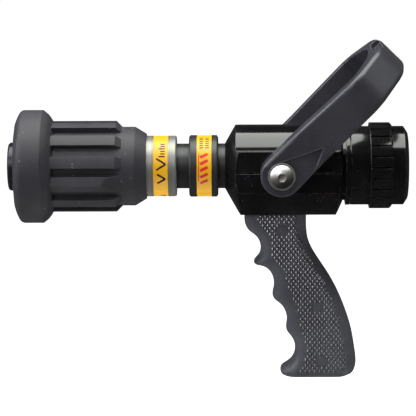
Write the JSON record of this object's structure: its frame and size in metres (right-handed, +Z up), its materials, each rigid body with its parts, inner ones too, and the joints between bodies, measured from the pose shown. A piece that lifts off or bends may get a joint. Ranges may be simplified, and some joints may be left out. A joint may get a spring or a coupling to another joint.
{
  "type": "fire hose nozzle",
  "caption": "Handheld fog and straight stream fire hose nozzle with a ribbed rubber pattern sleeve, ball shut-off worked by a bail handle, pistol grip and swivel hose coupling.",
  "frame": {"origin": "centre of the hose coupling's mouth, on the waterway axis", "axes": "+X along the waterway towards the hose, +Z up, the grip hangs towards -Z and the stream leaves towards -X"},
  "size_m": [0.3088, 0.1152, 0.2651],
  "materials": {
    "black_anodised": "gloss black hard anodised, machined",
    "grey_anodised": "dark grey anodised, fine turned",
    "satin_anodised": "light satin grey anodised, fine turned",
    "stainless": "machined stainless steel",
    "bright_stainless": "polished stainless steel",
    "polished_ball": "ground and polished stainless steel",
    "bronze": "turned bearing bronze",
    "seat_polymer": "white low friction polymer",
    "seal_rubber": "black nitrile",
    "handle_nylon": "satin black moulded glass filled nylon",
    "grip_nylon": "charcoal moulded nylon with chequered panels",
    "baffle_black": "satin black moulded head",
    "sleeve_rubber": "matte charcoal moulded rubber",
    "yellow_label": "printed yellow band"
  },
  "bodies": {
    "root": {"valve_body": "black_anodised", "tail_piece": "black_anodised", "tail_seal": "seal_rubber", "swivel_seal": "seal_rubber", "front_ball_seat": "seat_polymer", "rear_ball_seat": "seat_polymer", "trunnion_bushes": "bronze", "outlet_tube": "grey_anodised", "collar": "grey_anodised", "rear_label_band": "yellow_label", "barrel": "satin_anodised", "front_label_band": "yellow_label", "barrel_seal": "seal_rubber", "cam_pins": "stainless", "stem_spider": "grey_anodised", "stem": "stainless", "stem_nut": "stainless", "baffle_head": "baffle_black", "baffle_screw": "stainless", "grip_left_half": "grip_nylon", "grip_right_half": "grip_nylon", "grip_screws": "stainless", "grip_tang": "satin_anodised", "grip_bolts": "stainless"},
    "handle": {"handle": "handle_nylon", "ball": "polished_ball", "trunnion_shafts": "stainless", "trunnion_seals": "seal_rubber", "handle_washers": "seat_polymer", "handle_screws": "bright_stainless"},
    "sleeve_slider": {"sleeve_seal": "seal_rubber", "guide_ring": "seat_polymer"},
    "pattern_sleeve": {"rubber_sleeve": "sleeve_rubber", "stream_shaper": "satin_anodised"},
    "coupling": {"swivel_coupling": "black_anodised", "hose_gasket": "seal_rubber", "race_balls": "stainless", "race_plug": "stainless"}
  },
  "joints": [
    {"name": "handle_pull", "type": "hinge", "parent": "root", "child": "handle", "pos_m": [-0.0978, 0, 0], "axis": [0, -1, 0], "range_deg": [0, 90]},
    {"name": "sleeve_slide", "type": "slide", "parent": "root", "child": "sleeve_slider", "axis": [1, 0, 0], "range_m": [-0.0084, 0.0042]},
    {"name": "sleeve_turn", "type": "hinge", "parent": "sleeve_slider", "child": "pattern_sleeve", "pos_m": [-0.25, 0, 0], "axis": [-1, 0, 0], "range_deg": [-120, 60]},
    {"name": "coupling_spin", "type": "hinge", "parent": "root", "child": "coupling", "pos_m": [-0.022, 0, 0], "axis": [1, 0, 0], "continuous": true}
  ],
  "couplings": [
    {"joint": "sleeve_slide", "follows": "sleeve_turn", "m_per_rad": 0.0039789}
  ]
}
